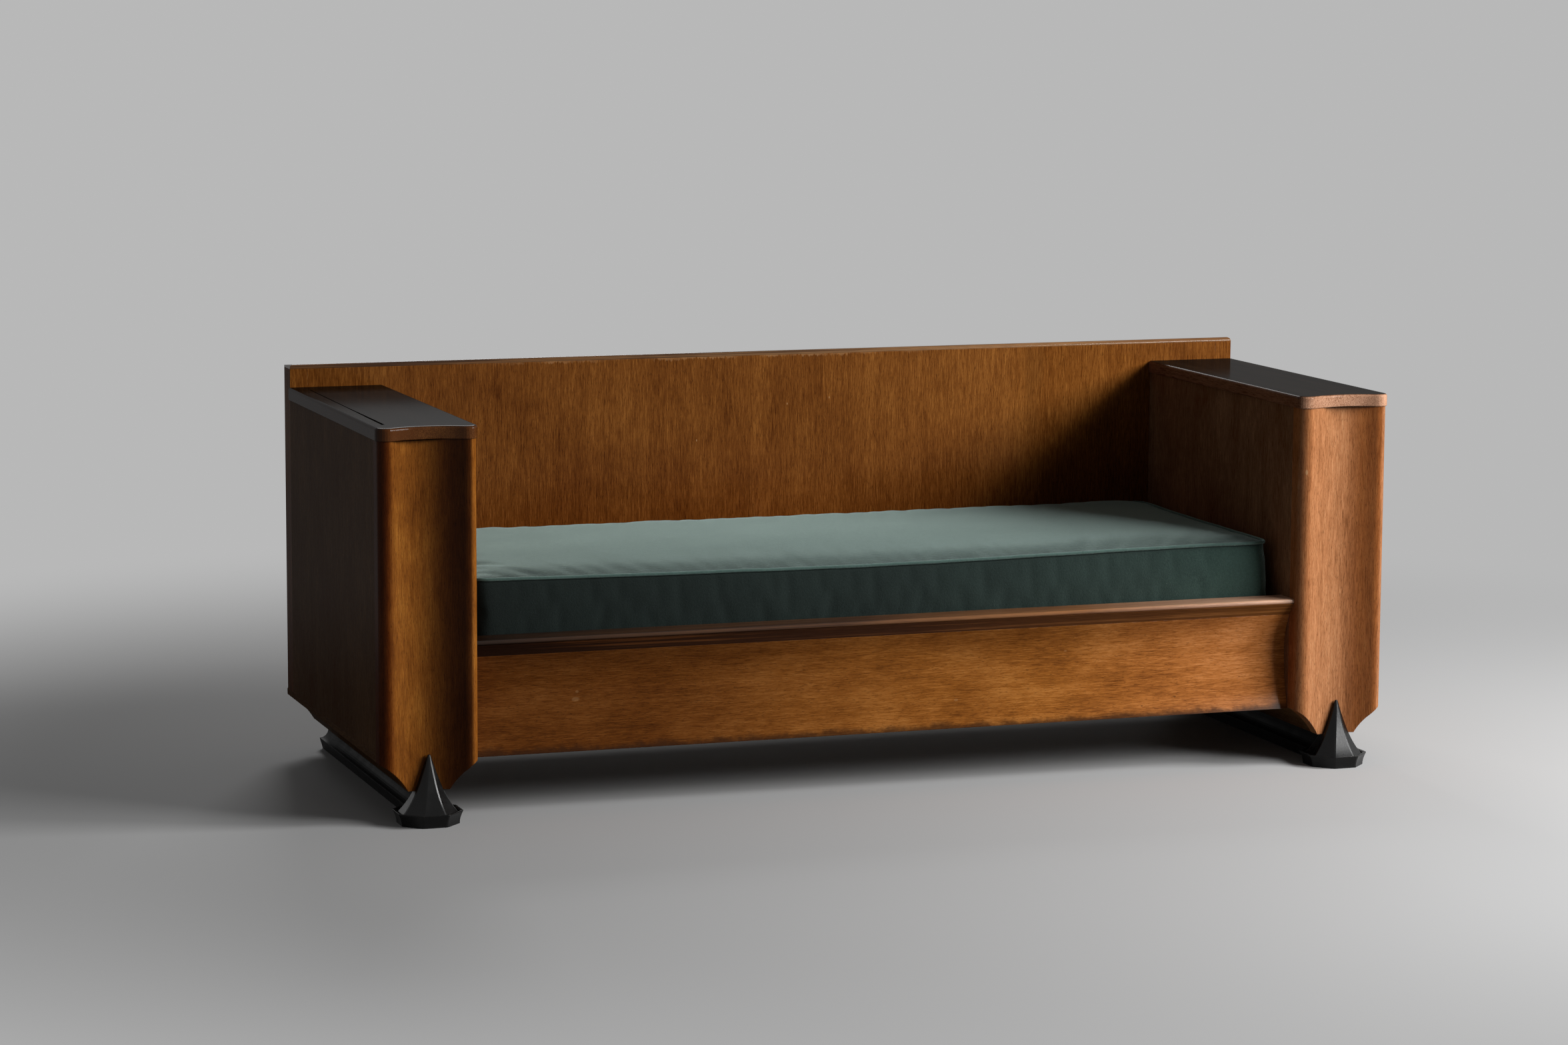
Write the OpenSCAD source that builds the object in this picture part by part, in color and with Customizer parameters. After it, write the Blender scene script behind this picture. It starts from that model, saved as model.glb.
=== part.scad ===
// Box sofa with hollow-fronted arms, spiked feet on sled runners and one loose seat cushion.
// X runs along the sofa, the front faces -Y and the floor is Z = 0.

/* [Overall] */
// Width over the arm sides
sofa_w = 2000; // [1500:10:2600]
// Depth from the arm fronts to the rear face of the back
sofa_d = 775; // [660:5:950]
// Height of the arm caps
arm_h = 725; // [600:5:850]
// Rise of the back above the arm caps
back_rise = 44; // [25:1:200]

/* [Arms] */
// Width of an arm box
arm_w = 183; // [150:1:260]
// Thickness of the arm side panels
side_t = 18; // [12:1:25]
// Thickness of the arm front board at its edges
front_t = 40; // [32:1:60]
// Depth of the hollow down the arm front
front_hollow = 18; // [6:1:24]
// Radius of the rounded vertical edges of the arm front
front_edge_r = 17; // [10:1:20]
// Height of the lower edge of the arm sides
skirt_z = 113; // [95:1:150]
// Height of the straight strip of plinth above that edge
plinth_strip = 12; // [6:1:30]
// Width of the tongue that stands on the runner
tongue_w = 78; // [60:1:110]
// Height of the tongue's lower end
tongue_z = 61; // [50:1:75]
// How far the scoops beside the tongue are hollowed
scoop_sag = 5; // [2:0.5:8]
// Thickness of the arm cap
cap_t = 24; // [16:1:40]
// Overhang of the cap past the arm
cap_overhang = 3; // [2:1:10]
// Rounding of the cap's upper edge
cap_top_r = 5; // [2:0.5:8]
// Rounding of the cap's lower edge
cap_low_r = 1.5; // [0.5:0.5:4]
// Width of the rear post inside an arm
post_t = 40; // [25:1:60]

/* [Back] */
// Thickness of the back
back_t = 55; // [45:1:80]
// Thickness of the front skin of the back
skin_t = 18; // [10:1:22]
// Thickness of the rear skin of the back
rear_skin_t = 12; // [6:1:15]
// Width of the post at each end of the back
end_post_w = 35; // [25:1:60]
// Thickness of the edging along the top
edging_t = 8; // [8:1:20]
// Rounding of the edging and of the rear corners
edging_r = 7; // [3:1:7]
// Fall of the edging's top towards the rear
edging_fall = 5; // [0:1:6]
// Width of the rails and stiles inside the back
stile_w = 70; // [40:1:120]

/* [Front rail] */
// Height of the rail's lower edge
rail_low_z = 111; // [95:1:150]
// Height of the deepest line of the rail's hollow face
rail_hollow_z = 225; // [190:1:250]
// Height of the rail's top
rail_top_z = 329; // [300:1:380]
// Setback of the nosing behind the arm fronts
nosing_setback = 19; // [0:1:40]
// Thickness of the nosing board
nosing_t = 9; // [6:1:14]
// Height of the dark band under the nosing
band_h = 23; // [10:1:40]
// How far the lip stands forward of the hollow
lip_reach = 40; // [15:1:60]
// How far the lower edge stands forward of the hollow
toe_reach = 19; // [5:1:35]
// Thickness of the rail at its hollow
rail_t = 20; // [15:1:30]
// Diameter of the dowels in the rail's ends
dowel_d = 10; // [6:1:14]
// Length of a dowel
dowel_len = 40; // [30:1:50]

/* [Seat] */
// Height of the slats' upper face
deck_z = 314; // [285:1:325]
// Thickness of a slat
slat_t = 20; // [14:1:28]
// Width of a slat
slat_w = 80; // [50:1:90]
// Height of the ledgers under the slats
ledger_h = 35; // [25:1:50]
// Width of the ledgers
ledger_w = 30; // [20:1:45]
// Leg length of a corner block
block_leg = 70; // [45:1:100]
// Thickness of a corner block
block_t = 30; // [20:1:40]

/* [Cushion] */
// Height of the cushion's border
cushion_t = 117; // [80:1:160]
// Crown of the cushion's top over its border
cushion_crown = 15; // [5:1:30]
// Space at each end of the cushion
cushion_end_gap = 13; // [5:1:30]
// Space in front of the cushion
cushion_front_gap = 4; // [2:1:20]
// How far the border is drawn in between its two welts
border_draw = 3; // [1:0.5:6]
// Radius of the welt round the cushion
welt_r = 3; // [2:0.5:5]
// Radius of the cushion's corners in plan
cushion_corner_r = 26; // [15:1:60]
// How far the top of the cushion's front leans back
front_lean = 16; // [0:1:24]
// Sag of that edge at its middle
front_sag = 9; // [0:1:14]

/* [Feet] */
// Width of the foot across its flats
foot_w = 120; // [90:1:140]
// Height of the foot's flared lip
foot_lip_z = 24; // [18:1:30]
// How far the foot draws in from lip to floor
foot_draw = 6; // [2:1:12]
// Reach of the foot ahead of the arm front
foot_reach = 37; // [25:1:50]
// Height of the spike
spike_h = 127; // [100:1:160]
// Distance of the spike's tip behind the arm front
tip_setback = 12; // [6:1:15]
// Half width of the spike at its tip
tip_r = 2.5; // [1:0.5:5]
// Width of the bevel along each ridge
ridge_bevel = 3.5; // [1:0.5:6]

/* [Runners] */
// Width of the runner across its lip
runner_w = 56; // [44:1:80]
// Width of the runner on the floor
runner_floor_w = 43; // [30:1:44]
// Width of the runner's neck under the tongue
neck_w = 20; // [12:1:30]
// Height of the runner's lip
runner_lip_z = 22; // [16:1:30]
// Width of the flat along the lip
runner_lip_t = 2; // [1:0.5:4]
// Height where the runner's flare meets its neck
runner_flare_z = 40; // [34:1:48]

/* [Hidden] */
$fn = 64;
// Gap between a foot and the arm front that it leans on
seat_gap = 0.3;
// Clearance of a dowel in its hole, on the radius
dowel_clear = 0.05;
// Space past a dowel's end in its hole
dowel_end_gap = 1;
// Wood left behind a dowel hole in an arm's side panel
dowel_wall = 4;
// Distance of the outer dowels from the rail's lower edge and from its band
dowel_margin = 25;
dowel_count = 4;
// Space between a slat's end and what stands across it
slat_end_gap = 1;
// Gap between the soft cushion and what it touches
soft_gap = 0.4;
// Extra length of a cutting shape past the face that it cuts
cut = 1;

oak = [0.50, 0.25, 0.10];
oak_dark = [0.33, 0.17, 0.08];
rosewood = [0.18, 0.08, 0.05];
ebonised = [0.05, 0.05, 0.05];
beech = [0.72, 0.56, 0.38];
green_wool = [0.10, 0.19, 0.16];

// Places along Y are measured from the arm fronts and moved by front_y
front_y = (foot_reach - sofa_d) / 2;
back_y = sofa_d - back_t;
arm_x = (sofa_w - arm_w) / 2;
seat_half_w = sofa_w / 2 - arm_w;
back_h = arm_h + back_rise;
side_low_z = skirt_z + plinth_strip;
cap_z = arm_h - cap_t;
edging_z = back_h - edging_t;
arm_inside_w = arm_w - 2 * side_t;

// The hollow of the arm front is an arc that meets both rounded edges in one line
edge_x = arm_w / 2 - front_edge_r;
hollow_r = (edge_x * edge_x + front_hollow * front_hollow) / (2 * front_hollow) - front_edge_r;
hollow_cy = front_hollow - hollow_r;
meet_angle = atan2(front_edge_r - hollow_cy, edge_x);

// The scoops beside the tongue are arcs through two points with a known sag
scoop_dx = (arm_w - tongue_w) / 2;
scoop_dz = skirt_z - tongue_z;
scoop_chord = norm([scoop_dx, scoop_dz]);
scoop_r = (scoop_chord * scoop_chord / 4 + scoop_sag * scoop_sag) / (2 * scoop_sag);
scoop_x = tongue_w / 2 + scoop_dx / 2 + (scoop_r - scoop_sag) * scoop_dz / scoop_chord;
scoop_z = tongue_z + scoop_dz / 2 - (scoop_r - scoop_sag) * scoop_dx / scoop_chord;

// The rail's face is two arcs that meet at the hollow's deepest line
rail_back_y = nosing_setback + lip_reach + rail_t;
rail_face_y = rail_back_y - rail_t;
lip_z = rail_top_z - nosing_t;
band_z = lip_z - band_h;
lip_rise = lip_z - rail_hollow_z;
toe_drop = rail_hollow_z - rail_low_z;
lip_arc_r = (lip_rise * lip_rise + lip_reach * lip_reach) / (2 * lip_reach);
toe_arc_r = (toe_drop * toe_drop + toe_reach * toe_reach) / (2 * toe_reach);
dowel_y = rail_back_y - rail_t / 2;
dowel_low_z = max(rail_low_z + dowel_margin, side_low_z + dowel_d);
dowel_span = band_z - dowel_margin - dowel_low_z;
dowel_zs = [for (k = [0:dowel_count - 1]) dowel_low_z + k * dowel_span / (dowel_count - 1)];
dowel_in_panel = side_t - dowel_wall;

slat_count = 11;
ledger_z = deck_z - slat_t - ledger_h;
slat_pitch = (2 * seat_half_w - slat_w - 2 * ledger_w) / (slat_count - 1);

// The foot's lip runs round a shallow valley, and the spike rises out of the valley
foot_half = foot_w / 2;
foot_cy = foot_half - foot_reach;
lip_w = 8;
lip_edge = 2;
valley_dip = 4;
valley_z = foot_lip_z - valley_dip;
valley_half = foot_half - lip_w;
// Share of the spike's spread that is a straight taper, with the rest a flare at its base
taper_share = 0.71;
flare_power = 4;
spike_rings = 28;

// The cushion's box and profile
cushion_half_w = seat_half_w - cushion_end_gap;
cushion_y0 = rail_back_y + cushion_front_gap;
cushion_y1 = back_y - soft_gap;
cushion_low_z = deck_z + soft_gap;
side_points = 7;
border_steps = 6;
crown_steps = 7;
crown_ridge = 6;
ridge_y = (cushion_y0 + cushion_y1) / 2 - crown_ridge;

// Moves children from the arm front's own frame into the sofa's frame
module placed() {
    translate([0, front_y, 0]) children();
}

// Stands children on one arm's centre line, with local +X pointing outward
module at_arm(side) {
    translate([side * arm_x, front_y, 0])
        mirror([side < 0 ? 1 : 0, 0, 0])
            children();
}

// Extrudes an outline of X and Z along Y
module along_y(y0, y1) {
    translate([0, y1, 0])
        rotate([90, 0, 0])
            linear_extrude(y1 - y0) children();
}

// Extrudes an outline of Y and Z along X
module along_x(x0, x1) {
    translate([x0, 0, 0])
        rotate([90, 0, 90])
            linear_extrude(x1 - x0) children();
}

// A box from one corner to the other
module box(low, high) {
    translate(low) cube(high - low);
}

// A closed skin through rings that have the same number of points
module loft(rings) {
    n = len(rings[0]);
    m = len(rings);
    floor_face = [[for (i = [0:n - 1]) i]];
    top_face = [[for (i = [n - 1:-1:0]) (m - 1) * n + i]];
    walls = [for (k = [0:m - 2]) for (i = [0:n - 1]) let (j = (i + 1) % n) each [
        [k * n + i, (k + 1) * n + i, (k + 1) * n + j],
        [k * n + i, (k + 1) * n + j, k * n + j]]];
    polyhedron([for (r = rings) each r], concat(floor_face, walls, top_face));
}

// Points on an arc from one angle to another
function arc(centre, r, a0, a1, steps) =
    [for (i = [0:steps]) let (a = a0 + (a1 - a0) * i / steps) centre + r * [cos(a), sin(a)]];

// Plan outline of an arm's front half, grown outward by grow, with a straight rear edge
function arm_outline(grow, rear_y) = concat(
    arc([-edge_x, front_edge_r], front_edge_r + grow, 180, 360 - meet_angle, 8),
    arc([0, hollow_cy], hollow_r - grow, 180 - meet_angle, meet_angle, 16),
    arc([edge_x, front_edge_r], front_edge_r + grow, 180 + meet_angle, 360, 8),
    [[arm_w / 2 + grow, rear_y], [-arm_w / 2 - grow, rear_y]]);

// Depth of the arm front's hollow surface at a place across the arm
function hollow_y(x) = hollow_cy + sqrt(hollow_r * hollow_r - x * x);

// Plan section of the arm front board
module arm_front_plan() {
    meet_x = hollow_r * cos(meet_angle);
    for (s = [0, 1])
        mirror([s, 0]) {
            translate([edge_x, front_edge_r]) circle(front_edge_r);
            translate([meet_x, front_edge_r]) square([arm_w / 2 - meet_x, front_t - front_edge_r]);
        }
    difference() {
        translate([-meet_x, 0]) square([2 * meet_x, front_t]);
        translate([0, hollow_cy]) circle(hollow_r, $fn = 180);
    }
}

// The two scoops that narrow an arm down to its tongue, as an outline of X and Z
module scoops() {
    for (s = [-1, 1])
        translate([s * scoop_x, scoop_z]) circle(scoop_r, $fn = 180);
}

// Cross section of an arm below its side panels
module plinth_section() {
    difference() {
        translate([-arm_w / 2, tongue_z]) square([arm_w, side_low_z - tongue_z]);
        scoops();
    }
}

module arm_front(side) {
    color(oak) at_arm(side) difference() {
        translate([0, 0, tongue_z]) linear_extrude(cap_z - tongue_z) arm_front_plan();
        along_y(-cut, front_t + cut) scoops();
    }
}

module arm_outer_panel(side) {
    color(oak) at_arm(side)
        box([arm_inside_w / 2, front_t, side_low_z], [arm_w / 2, back_y, cap_z]);
}

module arm_inner_panel(side) {
    color(oak) at_arm(side) difference() {
        box([-arm_w / 2, front_t, side_low_z], [-arm_inside_w / 2, back_y, cap_z]);
        for (z = dowel_zs)
            translate([-arm_w / 2 - cut, dowel_y, z])
                rotate([0, 90, 0]) cylinder(h = dowel_in_panel + cut, d = dowel_d + 2 * dowel_clear);
    }
}

// Upright divider that keeps an arm's two panels apart
module arm_rib(side) {
    mid_y = (front_t + back_y - post_t) / 2;
    color(beech) at_arm(side)
        box([-arm_inside_w / 2, mid_y - side_t / 2, side_low_z],
            [arm_inside_w / 2, mid_y + side_t / 2, cap_z]);
}

module arm_rear_post(side) {
    color(beech) at_arm(side)
        box([-arm_inside_w / 2, back_y - post_t, side_low_z], [arm_inside_w / 2, back_y, cap_z]);
}

module arm_plinth(side) {
    color(oak_dark) at_arm(side) along_y(front_t, sofa_d) plinth_section();
}

module arm_cap(side) {
    steps = 4;
    low = [for (i = [0:steps]) let (a = 90 * i / steps)
        [cap_overhang - cap_low_r * (1 - sin(a)), cap_z + cap_low_r * (1 - cos(a))]];
    high = [for (i = [0:steps]) let (a = 90 * i / steps)
        [cap_overhang - cap_top_r * (1 - cos(a)), arm_h - cap_top_r * (1 - sin(a))]];
    color(oak) at_arm(side)
        loft([for (e = concat(low, high))
            [for (p = arm_outline(e[0], back_y)) [p[0], p[1], e[1]]]]);
}

// Ring of a foot: an octagon with bevelled corners, of a half width and a height
function foot_ring(half, z) =
    let (share = half / foot_half,
         cy = tip_setback + (foot_cy - tip_setback) * share,
         reach = half * tan(22.5),
         run = max(reach - ridge_bevel / 2, reach / 2))
    [for (k = [0:7]) for (e = [-1, 1])
        let (a = 45 * k)
        [half * cos(a) - e * run * sin(a), cy + half * sin(a) + e * run * cos(a), z]];

// The same ring kept in front of the arm's hollow face
function leaning(ring) = [for (p = ring) [p[0], min(p[1], hollow_y(p[0]) - seat_gap), p[2]]];

// Half width of the spike at a depth below its tip
function spike_half(depth) =
    let (t = depth / (spike_h - valley_z),
         spread = valley_half - tip_r)
    tip_r + spread * (taper_share * t + (1 - taper_share) * pow(t, flare_power));

// Spiked foot: a flared octagonal base and a concave pyramid that leans on the arm front
module foot(side) {
    low_steps = 12;
    flank_steps = 6;
    lip_steps = 6;
    flank_z = foot_lip_z - lip_edge;
    flank = [for (i = [0:flank_steps]) let (t = i / flank_steps)
        [foot_half - foot_draw * (1 - t * t), flank_z * t]];
    lip = [for (i = [0:lip_steps]) let (a = 90 * i / lip_steps)
        [foot_half - lip_w * sin(a), foot_lip_z - valley_dip * (1 - cos(a))]];
    shelf_z = tongue_z - seat_gap;
    low = [for (i = [0:low_steps]) valley_z + (shelf_z - valley_z) * i / low_steps];
    high = [for (i = [0:spike_rings]) tongue_z + (spike_h - tongue_z) * i / spike_rings];
    color(ebonised) at_arm(side) difference() {
        loft(concat(
            [for (e = concat(flank, lip)) foot_ring(e[0], e[1])],
            [for (z = low) if (z > valley_z) foot_ring(spike_half(spike_h - z), z)],
            [for (z = high) leaning(foot_ring(spike_half(spike_h - z), z))]));
        along_y(foot_cy, 2 * foot_w) runner_section();
    }
}

// Half of the runner's section: floor, lip, then a concave sweep up into the neck
function runner_half() =
    let (sweep_x = (runner_w - neck_w) / 2 - runner_lip_t,
         sweep_z = runner_flare_z - runner_lip_z)
    concat(
        [[runner_floor_w / 2, 0], [runner_w / 2, runner_lip_z]],
        [for (a = [0:15:90])
            [neck_w / 2 + sweep_x * (1 - sin(a)), runner_flare_z - sweep_z * cos(a)]],
        [[neck_w / 2, tongue_z]]);

module runner_section() {
    polygon(concat(runner_half(), [for (p = reverse_list(runner_half())) [-p[0], p[1]]]));
}

function reverse_list(list) = [for (i = [len(list) - 1:-1:0]) list[i]];

module runner(side) {
    color(ebonised) at_arm(side) along_y(foot_cy, sofa_d) runner_section();
}

module back_end_post(side) {
    color(oak) placed() translate([side * (sofa_w - end_post_w) / 2, 0, side_low_z])
        linear_extrude(edging_z - side_low_z)
            difference() {
                translate([-end_post_w / 2, back_y]) square([end_post_w, back_t]);
                translate([side * end_post_w / 2, sofa_d]) mirror([side < 0 ? 1 : 0, 0]) corner_cut(edging_r);
            }
}

// What a rounding takes off an outer corner at the origin, with the body at -X, -Y
module corner_cut(r) {
    difference() {
        translate([-r, -r]) square(r + cut);
        translate([-r, -r]) circle(r);
    }
}

module back_front_skin() {
    half = sofa_w / 2 - end_post_w;
    color(oak) placed() box([-half, back_y, side_low_z], [half, back_y + skin_t, edging_z]);
}

module back_rear_skin() {
    half = sofa_w / 2 - end_post_w;
    color(oak_dark) placed() box([-half, sofa_d - rear_skin_t, side_low_z], [half, sofa_d, edging_z]);
}

// A bar of the frame between the skins of the back
module back_bar(x0, x1, z0, z1) {
    color(beech) placed()
        box([x0, back_y + skin_t, z0], [x1, sofa_d - rear_skin_t, z1]);
}

module back_top_rail() {
    half = sofa_w / 2 - end_post_w;
    back_bar(-half, half, edging_z - stile_w, edging_z);
}

module back_bottom_rail() {
    half = sofa_w / 2 - end_post_w;
    back_bar(-half, half, side_low_z, side_low_z + stile_w);
}

module back_stile(place) {
    x = place * sofa_w / 4;
    back_bar(x - stile_w / 2, x + stile_w / 2, side_low_z + stile_w, edging_z - stile_w);
}

// Edging over the whole back, rounded along its top and at its ends, with a fall to the rear
module back_edging() {
    rear_z = back_h - edging_fall;
    color(oak_dark) placed() intersection() {
        along_x(-sofa_w / 2, sofa_w / 2) difference() {
            translate([back_y, edging_z]) square([back_t, edging_t]);
            translate([back_y, back_h]) mirror([1, 0]) corner_cut(edging_r);
            polygon([[back_y + edging_r, back_h], [sofa_d, rear_z], [sofa_d + cut, rear_z],
                     [sofa_d + cut, back_h + cut], [back_y + edging_r, back_h + cut]]);
            translate([sofa_d, rear_z]) corner_cut(min(edging_r, edging_t - edging_fall));
        }
        along_y(back_y, sofa_d) difference() {
            translate([-sofa_w / 2, edging_z]) square([sofa_w, edging_t]);
            translate([sofa_w / 2, back_h]) corner_cut(edging_r);
            translate([-sofa_w / 2, back_h]) mirror([1, 0]) corner_cut(edging_r);
        }
        translate([0, 0, edging_z]) linear_extrude(edging_t) difference() {
            translate([-sofa_w / 2, back_y]) square([sofa_w, back_t]);
            translate([sofa_w / 2, sofa_d]) corner_cut(edging_r);
            translate([-sofa_w / 2, sofa_d]) mirror([1, 0]) corner_cut(edging_r);
        }
    }
}

// Section of the front rail between two heights, as an outline of Y and Z
module rail_section(z0, z1) {
    difference() {
        translate([0, z0]) square([rail_back_y, z1 - z0]);
        intersection() {
            translate([rail_face_y - lip_arc_r, rail_hollow_z]) circle(lip_arc_r, $fn = 180);
            translate([-cut, rail_hollow_z]) square([rail_back_y, 2 * lip_arc_r]);
        }
        intersection() {
            translate([rail_face_y - toe_arc_r, rail_hollow_z]) circle(toe_arc_r, $fn = 180);
            translate([-cut, rail_hollow_z - 2 * toe_arc_r]) square([rail_back_y, 2 * toe_arc_r]);
        }
    }
}

// Dowels or their holes across one end of the rail
module end_dowels(radius, out, into) {
    for (z = dowel_zs)
        translate([seat_half_w - into, dowel_y, z])
            rotate([0, 90, 0]) cylinder(h = into + out, r = radius);
}

module front_rail() {
    into = dowel_len - dowel_in_panel + dowel_end_gap;
    color(oak) placed() difference() {
        along_x(-seat_half_w, seat_half_w) rail_section(rail_low_z, band_z);
        for (s = [0, 1])
            mirror([s, 0, 0]) end_dowels(dowel_d / 2 + dowel_clear, cut, into);
    }
}

module rail_band() {
    color(rosewood) placed() along_x(-seat_half_w, seat_half_w) rail_section(band_z, lip_z);
}

module rail_nosing() {
    color(oak) placed() along_x(-seat_half_w, seat_half_w) {
        translate([nosing_setback + nosing_t / 2, lip_z + nosing_t / 2]) circle(nosing_t / 2);
        translate([nosing_setback + nosing_t / 2, lip_z])
            square([rail_back_y - nosing_setback - nosing_t / 2, nosing_t]);
    }
}

module rail_dowels() {
    into = dowel_len - dowel_in_panel;
    color(beech) placed()
        for (s = [0, 1])
            mirror([s, 0, 0]) end_dowels(dowel_d / 2, dowel_in_panel, into);
}

// Ledgers that carry the slats, one on each side of the seat well
module seat_ledger_front() {
    color(beech) placed()
        box([-seat_half_w, rail_back_y, ledger_z], [seat_half_w, rail_back_y + ledger_w, deck_z - slat_t]);
}

module seat_ledger_rear() {
    color(beech) placed()
        box([-seat_half_w, back_y - ledger_w, ledger_z], [seat_half_w, back_y, deck_z - slat_t]);
}

module seat_ledger(side) {
    color(beech) placed() mirror([side < 0 ? 1 : 0, 0, 0])
        box([seat_half_w - ledger_w, rail_back_y + ledger_w, ledger_z],
            [seat_half_w, back_y - ledger_w, deck_z - slat_t]);
}

// Three-cornered block glued into a corner of the seat well, under the ledgers
module corner_block(side, rear) {
    color(beech) placed() mirror([side < 0 ? 1 : 0, 0, 0])
        translate([seat_half_w, rear ? back_y : rail_back_y, ledger_z - block_t])
            mirror([0, rear ? 1 : 0, 0])
                linear_extrude(block_t) polygon([[0, 0], [0, block_leg], [-block_leg, 0]]);
}

module seat_slat(k) {
    x = (k - (slat_count + 1) / 2) * slat_pitch;
    color(beech) placed()
        box([x - slat_w / 2, rail_back_y + slat_end_gap, deck_z - slat_t],
            [x + slat_w / 2, back_y - slat_end_gap, deck_z]);
}

// Moves a point of the cushion as use has: the front leans back and its upper edge sags
function sat_on(p) =
    let (rise = min(max((p[2] - cushion_low_z - 2 * welt_r) / (cushion_t - 4 * welt_r), 0), 1),
         near = max(ridge_y - p[1], 0) / (ridge_y - cushion_y0),
         give = rise * near * near)
    [p[0], p[1] + front_lean * give, p[2] - front_sag * give * cos(90 * p[0] / cushion_half_w)];

// Rounded rectangle of the cushion's plan, drawn in all round, with extra points along its long sides
function cushion_ring(draw, z) =
    let (hx = cushion_half_w - draw,
         y0 = cushion_y0 + draw,
         y1 = cushion_y1 - draw,
         r = max(cushion_corner_r - draw, welt_r),
         steps = 5)
    [for (q = [[1, 1, 0], [-1, 1, 90], [-1, -1, 180], [1, -1, 270]])
        let (c = [q[0] * (hx - r), (q[1] > 0 ? y1 - r : y0 + r)],
             side = [for (i = [1:side_points]) [c[0] * (1 - 2 * i / (side_points + 1)), c[1] + q[1] * r]])
        for (p = concat(arc(c, r, q[2], q[2] + 90, steps), q[0] * q[1] > 0 ? side : []))
            sat_on([p[0], p[1], z])];

// Boxed cushion: a welt at both edges, a border drawn in between them and a crowned top
module seat_cushion() {
    high_z = cushion_low_z + cushion_t;
    half_depth = (cushion_y1 - cushion_y0) / 2;
    low_welt = arc([welt_r, cushion_low_z + welt_r], welt_r, 255, 105, 4);
    high_welt = arc([welt_r, high_z - welt_r], welt_r, 255, 105, 4);
    border_z = cushion_low_z + 2 * welt_r;
    border_h = cushion_t - 4 * welt_r;
    border = [for (i = [1:border_steps - 1]) let (t = i / border_steps)
        [welt_r + border_draw * sin(180 * t), border_z + border_h * t]];
    crown = [for (i = [1:crown_steps]) let (t = i / crown_steps)
        [2 * welt_r + (half_depth - 2 * welt_r - crown_ridge) * pow(t, 1.6),
         high_z + cushion_crown * sin(90 * pow(t, 0.8))]];
    color(green_wool) placed()
        loft([for (e = concat(low_welt, border, high_welt, crown)) cushion_ring(e[0], e[1])]);
}

for (s = [["left", -1], ["right", 1]]) {
    arm_front(s[1]);
    arm_outer_panel(s[1]);
    arm_inner_panel(s[1]);
    arm_rib(s[1]);
    arm_rear_post(s[1]);
    arm_plinth(s[1]);
    arm_cap(s[1]);
    foot(s[1]);
    runner(s[1]);
    back_end_post(s[1]);
    seat_ledger(s[1]);
    corner_block(s[1], false);
    corner_block(s[1], true);
}
back_front_skin();
back_rear_skin();
back_top_rail();
back_bottom_rail();
for (k = [1:3])
    back_stile(k - 2);
back_edging();
front_rail();
rail_band();
rail_nosing();
rail_dowels();
seat_ledger_front();
seat_ledger_rear();
seat_cushion();
for (k = [1:slat_count])
    seat_slat(k);
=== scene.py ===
"""Looks of the box sofa: wood, cushion, wear, light and camera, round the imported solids."""

import math

import bmesh
import bpy
import numpy as np
from mathutils import Matrix, Vector, noise


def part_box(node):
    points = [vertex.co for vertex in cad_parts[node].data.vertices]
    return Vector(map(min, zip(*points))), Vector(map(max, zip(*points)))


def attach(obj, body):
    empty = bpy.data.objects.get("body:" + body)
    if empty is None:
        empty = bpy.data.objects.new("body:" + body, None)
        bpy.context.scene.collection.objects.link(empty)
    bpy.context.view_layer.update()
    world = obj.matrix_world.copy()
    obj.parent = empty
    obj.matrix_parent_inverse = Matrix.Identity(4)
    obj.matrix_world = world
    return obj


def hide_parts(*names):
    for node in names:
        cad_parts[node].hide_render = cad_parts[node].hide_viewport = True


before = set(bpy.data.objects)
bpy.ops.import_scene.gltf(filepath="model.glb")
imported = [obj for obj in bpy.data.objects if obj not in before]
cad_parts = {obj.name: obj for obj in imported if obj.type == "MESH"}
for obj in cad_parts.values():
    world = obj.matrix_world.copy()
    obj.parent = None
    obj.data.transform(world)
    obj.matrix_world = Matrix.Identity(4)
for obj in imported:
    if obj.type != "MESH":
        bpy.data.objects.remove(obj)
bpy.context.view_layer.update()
scene = bpy.context.scene
cushion_low, cushion_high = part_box("seat_cushion")
SIDES = ("left", "right")
BLACK = (0.0, 0.0, 0.0)
# Y of the arm fronts
FRONT_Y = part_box("arm_front_left")[0].y
# Distance of the middle of each arm from X = 0
ARM_X = 0.9085
# The tones of the rail's mouldings and the edging, partly painted light and shade, run from minus to
# plus RAIL_HALF, and the painted light and shade of the seat from minus to plus SEAT_HALF
RAIL_HALF = 0.85
SEAT_HALF = 0.8


# Materials


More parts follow.
